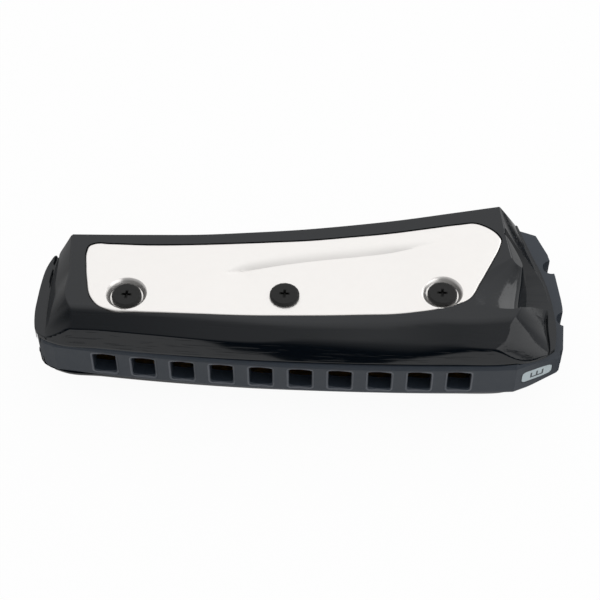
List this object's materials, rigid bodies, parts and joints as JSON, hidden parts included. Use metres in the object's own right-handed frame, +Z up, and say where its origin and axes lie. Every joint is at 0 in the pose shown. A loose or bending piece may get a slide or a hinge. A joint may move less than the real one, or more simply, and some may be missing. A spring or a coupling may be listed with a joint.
{
  "type": "diatonic harmonica",
  "caption": "Wedge-shaped diatonic harmonica: moulded comb with mouth holes, reed plates, open-backed gloss covers with metal inlays and a notched end flange.",
  "frame": {"origin": "centre of the bounding box's underside, where the lower cover rests", "axes": "+X along the mouth holes towards the wide low-note end, +Y from the mouth side to the back, +Z up out of the draw-reed cover"},
  "size_m": [0.1018, 0.039, 0.0226],
  "materials": {
    "comb": "satin, slightly soft",
    "covers": "polished, with fine scratches",
    "inlays": "satin pearl",
    "cover_screws": "black, satin",
    "reed_plates": "milled",
    "reeds": "ground lengthwise",
    "rivets": "peened",
    "plate_screws": "zinc plated",
    "badge": "satin, pale grey"
  },
  "bodies": {
    "root": {"comb": "comb", "draw_reed_plate": "reed_plates", "blow_reed_plate": "reed_plates", "upper_cover": "covers", "upper_inlay": "inlays", "upper_cover_screw_1": "cover_screws", "upper_cover_screw_2": "cover_screws", "upper_cover_screw_3": "cover_screws", "upper_plate_screw_1": "plate_screws", "upper_plate_screw_2": "plate_screws", "upper_plate_screw_3": "plate_screws", "lower_cover": "covers", "lower_inlay": "inlays", "lower_cover_screw_1": "cover_screws", "lower_cover_screw_2": "cover_screws", "lower_cover_screw_3": "cover_screws", "lower_plate_screw_1": "plate_screws", "lower_plate_screw_2": "plate_screws", "lower_plate_screw_3": "plate_screws", "draw_rivet_1": "rivets", "draw_rivet_2": "rivets", "draw_rivet_3": "rivets", "draw_rivet_4": "rivets", "draw_rivet_5": "rivets", "draw_rivet_6": "rivets", "draw_rivet_7": "rivets", "draw_rivet_8": "rivets", "draw_rivet_9": "rivets", "draw_rivet_10": "rivets", "blow_rivet_1": "rivets", "blow_rivet_2": "rivets", "blow_rivet_3": "rivets", "blow_rivet_4": "rivets", "blow_rivet_5": "rivets", "blow_rivet_6": "rivets", "blow_rivet_7": "rivets", "blow_rivet_8": "rivets", "blow_rivet_9": "rivets", "blow_rivet_10": "rivets", "key_badge": "badge"},
    "draw_reed_1": {"draw_reed_1": "reeds"},
    "draw_reed_2": {"draw_reed_2": "reeds"},
    "draw_reed_3": {"draw_reed_3": "reeds"},
    "draw_reed_4": {"draw_reed_4": "reeds"},
    "draw_reed_5": {"draw_reed_5": "reeds"},
    "draw_reed_6": {"draw_reed_6": "reeds"},
    "draw_reed_7": {"draw_reed_7": "reeds"},
    "draw_reed_8": {"draw_reed_8": "reeds"},
    "draw_reed_9": {"draw_reed_9": "reeds"},
    "draw_reed_10": {"draw_reed_10": "reeds"},
    "blow_reed_1": {"blow_reed_1": "reeds"},
    "blow_reed_2": {"blow_reed_2": "reeds"},
    "blow_reed_3": {"blow_reed_3": "reeds"},
    "blow_reed_4": {"blow_reed_4": "reeds"},
    "blow_reed_5": {"blow_reed_5": "reeds"},
    "blow_reed_6": {"blow_reed_6": "reeds"},
    "blow_reed_7": {"blow_reed_7": "reeds"},
    "blow_reed_8": {"blow_reed_8": "reeds"},
    "blow_reed_9": {"blow_reed_9": "reeds"},
    "blow_reed_10": {"blow_reed_10": "reeds"}
  },
  "joints": [
    {"name": "draw_reed_1_swing", "type": "hinge", "parent": "root", "child": "draw_reed_1", "pos_m": [0.0309, -0.01413, 0.01558], "axis": [1, 0, 0], "range_deg": [-3.5, 3.5], "stiffness_Nm_per_rad": 0.003},
    {"name": "draw_reed_2_swing", "type": "hinge", "parent": "root", "child": "draw_reed_2", "pos_m": [0.0234, -0.01465, 0.01558], "axis": [1, 0, 0], "range_deg": [-3.5, 3.5], "stiffness_Nm_per_rad": 0.003},
    {"name": "draw_reed_3_swing", "type": "hinge", "parent": "root", "child": "draw_reed_3", "pos_m": [0.0159, -0.01505, 0.01558], "axis": [1, 0, 0], "range_deg": [-3.5, 3.5], "stiffness_Nm_per_rad": 0.003},
    {"name": "draw_reed_4_swing", "type": "hinge", "parent": "root", "child": "draw_reed_4", "pos_m": [0.0084, -0.01532, 0.01558], "axis": [1, 0, 0], "range_deg": [-3.5, 3.5], "stiffness_Nm_per_rad": 0.003},
    {"name": "draw_reed_5_swing", "type": "hinge", "parent": "root", "child": "draw_reed_5", "pos_m": [0.0009, -0.01547, 0.01558], "axis": [1, 0, 0], "range_deg": [-3.5, 3.5], "stiffness_Nm_per_rad": 0.003},
    {"name": "draw_reed_6_swing", "type": "hinge", "parent": "root", "child": "draw_reed_6", "pos_m": [-0.0066, -0.0155, 0.01558], "axis": [1, 0, 0], "range_deg": [-3.5, 3.5], "stiffness_Nm_per_rad": 0.003},
    {"name": "draw_reed_7_swing", "type": "hinge", "parent": "root", "child": "draw_reed_7", "pos_m": [-0.0141, -0.0154, 0.01558], "axis": [1, 0, 0], "range_deg": [-3.5, 3.5], "stiffness_Nm_per_rad": 0.003},
    {"name": "draw_reed_8_swing", "type": "hinge", "parent": "root", "child": "draw_reed_8", "pos_m": [-0.0216, -0.01517, 0.01558], "axis": [1, 0, 0], "range_deg": [-3.5, 3.5], "stiffness_Nm_per_rad": 0.003},
    {"name": "draw_reed_9_swing", "type": "hinge", "parent": "root", "child": "draw_reed_9", "pos_m": [-0.0291, -0.01482, 0.01558], "axis": [1, 0, 0], "range_deg": [-3.5, 3.5], "stiffness_Nm_per_rad": 0.003},
    {"name": "draw_reed_10_swing", "type": "hinge", "parent": "root", "child": "draw_reed_10", "pos_m": [-0.0366, -0.01433, 0.01558], "axis": [1, 0, 0], "range_deg": [-3.5, 3.5], "stiffness_Nm_per_rad": 0.003},
    {"name": "blow_reed_1_swing", "type": "hinge", "parent": "root", "child": "blow_reed_1", "pos_m": [0.0309, 0.00347, 0.00848], "axis": [1, 0, 0], "range_deg": [-3.5, 3.5], "stiffness_Nm_per_rad": 0.003},
    {"name": "blow_reed_2_swing", "type": "hinge", "parent": "root", "child": "blow_reed_2", "pos_m": [0.0234, 0.00223, 0.00848], "axis": [1, 0, 0], "range_deg": [-3.5, 3.5], "stiffness_Nm_per_rad": 0.003},
    {"name": "blow_reed_3_swing", "type": "hinge", "parent": "root", "child": "blow_reed_3", "pos_m": [0.0159, 0.00111, 0.00848], "axis": [1, 0, 0], "range_deg": [-3.5, 3.5], "stiffness_Nm_per_rad": 0.003},
    {"name": "blow_reed_4_swing", "type": "hinge", "parent": "root", "child": "blow_reed_4", "pos_m": [0.0084, 0.00012, 0.00848], "axis": [1, 0, 0], "range_deg": [-3.5, 3.5], "stiffness_Nm_per_rad": 0.003},
    {"name": "blow_reed_5_swing", "type": "hinge", "parent": "root", "child": "blow_reed_5", "pos_m": [0.0009, -0.00075, 0.00848], "axis": [1, 0, 0], "range_deg": [-3.5, 3.5], "stiffness_Nm_per_rad": 0.003},
    {"name": "blow_reed_6_swing", "type": "hinge", "parent": "root", "child": "blow_reed_6", "pos_m": [-0.0066, -0.0015, 0.00848], "axis": [1, 0, 0], "range_deg": [-3.5, 3.5], "stiffness_Nm_per_rad": 0.003},
    {"name": "blow_reed_7_swing", "type": "hinge", "parent": "root", "child": "blow_reed_7", "pos_m": [-0.0141, -0.00212, 0.00848], "axis": [1, 0, 0], "range_deg": [-3.5, 3.5], "stiffness_Nm_per_rad": 0.003},
    {"name": "blow_reed_8_swing", "type": "hinge", "parent": "root", "child": "blow_reed_8", "pos_m": [-0.0216, -0.00261, 0.00848], "axis": [1, 0, 0], "range_deg": [-3.5, 3.5], "stiffness_Nm_per_rad": 0.003},
    {"name": "blow_reed_9_swing", "type": "hinge", "parent": "root", "child": "blow_reed_9", "pos_m": [-0.0291, -0.00298, 0.00848], "axis": [1, 0, 0], "range_deg": [-3.5, 3.5], "stiffness_Nm_per_rad": 0.003},
    {"name": "blow_reed_10_swing", "type": "hinge", "parent": "root", "child": "blow_reed_10", "pos_m": [-0.0366, -0.00321, 0.00848], "axis": [1, 0, 0], "range_deg": [-3.5, 3.5], "stiffness_Nm_per_rad": 0.003}
  ]
}
